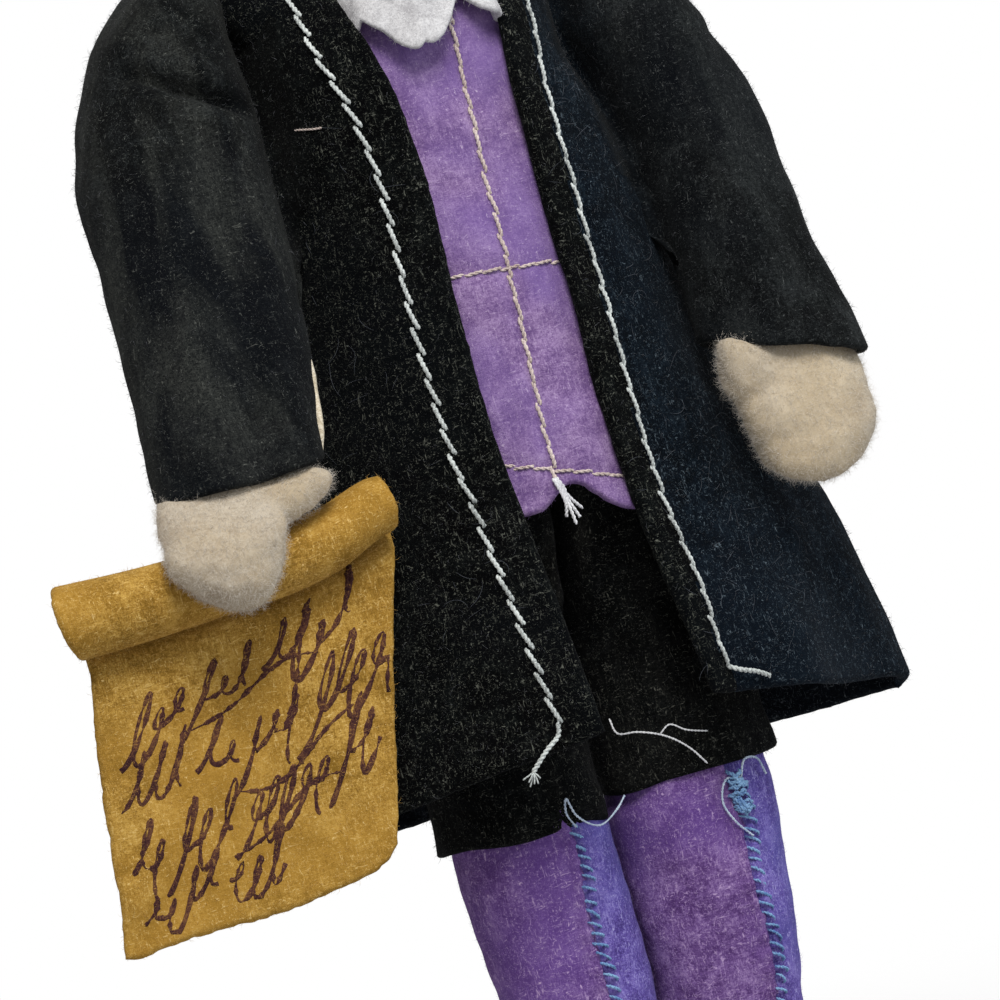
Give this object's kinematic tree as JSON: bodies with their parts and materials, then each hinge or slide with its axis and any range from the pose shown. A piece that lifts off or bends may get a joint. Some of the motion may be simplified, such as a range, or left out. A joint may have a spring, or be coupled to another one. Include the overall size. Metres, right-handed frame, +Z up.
{
  "type": "felt doll ornament",
  "caption": "Sewn felt doll ornament in old-fashioned open coat, waistcoat, breeches and stockings, holding a felt scroll; hangs from a sewn eye on its crown.",
  "frame": {"origin": "centre of the sewn hanging eye on the doll's crown", "axes": "+Z up along the hanging doll, the doll faces -Y, its right hand with the scroll is on -X"},
  "size_m": [0.0982, 0.0457, 0.1866],
  "materials": {
    "black_felt": "matt wool-blend felt, near black, lint-flecked",
    "purple_felt": "matt purple felt",
    "stocking_felt": "matt deep purple felt, stuffed",
    "cream_felt": "fuzzy cream felt",
    "white_felt": "matt white felt",
    "mustard_felt": "mustard felt with bright flecks and drawn brown lines",
    "silver_thread": "twisted silver-white sewing thread",
    "cream_thread": "twisted cream sewing thread",
    "blue_thread": "blue sewing thread",
    "rose_thread": "dull rose embroidery thread",
    "black_thread": "black cord thread",
    "skin_felt": "matt warm pale felt",
    "grey_wool": "combed grey wool",
    "black_ribbon": "black ribbon",
    "bead": "dark glossy bead",
    "shoe_felt": "black shoe felt with a soft sheen",
    "sole_felt": "dark brown sole board",
    "brass": "thin pressed brass"
  },
  "bodies": {
    "torso": {"torso_core": "cream_felt", "neck": "skin_felt", "neckband": "white_felt", "jabot": "white_felt", "waistcoat": "purple_felt", "waistcoat_stitching": "cream_thread", "breeches_seat": "black_felt", "coat_back": "black_felt", "coat_front_right": "black_felt", "coat_front_left": "black_felt", "coat_stitching_right": "silver_thread", "coat_stitching_left": "silver_thread"},
    "head": {"head_ball": "skin_felt", "hair_cap": "grey_wool", "hair_roll_right": "grey_wool", "hair_roll_left": "grey_wool", "hair_queue": "grey_wool", "queue_ribbon": "black_ribbon", "eye_right": "bead", "eye_left": "bead", "nose": "skin_felt", "mouth_stitch": "rose_thread", "hanging_eye": "black_thread"},
    "right_arm": {"sleeve_right": "black_felt", "arm_core_right": "cream_felt", "hand_right": "cream_felt", "scroll_roll": "mustard_felt"},
    "scroll": {"scroll_sheet": "mustard_felt"},
    "left_arm": {"sleeve_left": "black_felt", "arm_core_left": "cream_felt", "hand_left": "cream_felt"},
    "right_leg": {"breeches_leg_right": "black_felt", "stocking_right": "stocking_felt", "stocking_seam_right": "blue_thread", "shoe_right": "shoe_felt", "sole_right": "sole_felt", "buckle_right": "brass"},
    "left_leg": {"breeches_leg_left": "black_felt", "stocking_left": "stocking_felt", "stocking_seam_left": "blue_thread", "shoe_left": "shoe_felt", "sole_left": "sole_felt", "buckle_left": "brass"}
  },
  "joints": [
    {"name": "neck_turn", "type": "hinge", "parent": "torso", "child": "head", "pos_m": [0, 0, -0.0444], "axis": [0, 0, 1], "range_deg": [-25, 25], "stiffness_Nm_per_rad": 0.002},
    {"name": "right_shoulder", "type": "hinge", "parent": "torso", "child": "right_arm", "pos_m": [-0.0179, 0, -0.0549], "axis": [-1, 0, 0], "range_deg": [0, 75]},
    {"name": "left_shoulder", "type": "hinge", "parent": "torso", "child": "left_arm", "pos_m": [0.0179, 0, -0.0549], "axis": [-1, 0, 0], "range_deg": [0, 75]},
    {"name": "scroll_flap", "type": "hinge", "parent": "right_arm", "child": "scroll", "pos_m": [-0.038, -0.0131, -0.11131], "axis": [-0.9945, 0, -0.1045], "range_deg": [0, 40]},
    {"name": "right_hip", "type": "hinge", "parent": "torso", "child": "right_leg", "pos_m": [-0.0093, -0.001, -0.1274], "axis": [-1, 0, 0], "range_deg": [-20, 30]},
    {"name": "left_hip", "type": "hinge", "parent": "torso", "child": "left_leg", "pos_m": [0.0093, -0.001, -0.1274], "axis": [-1, 0, 0], "range_deg": [-20, 30]}
  ]
}
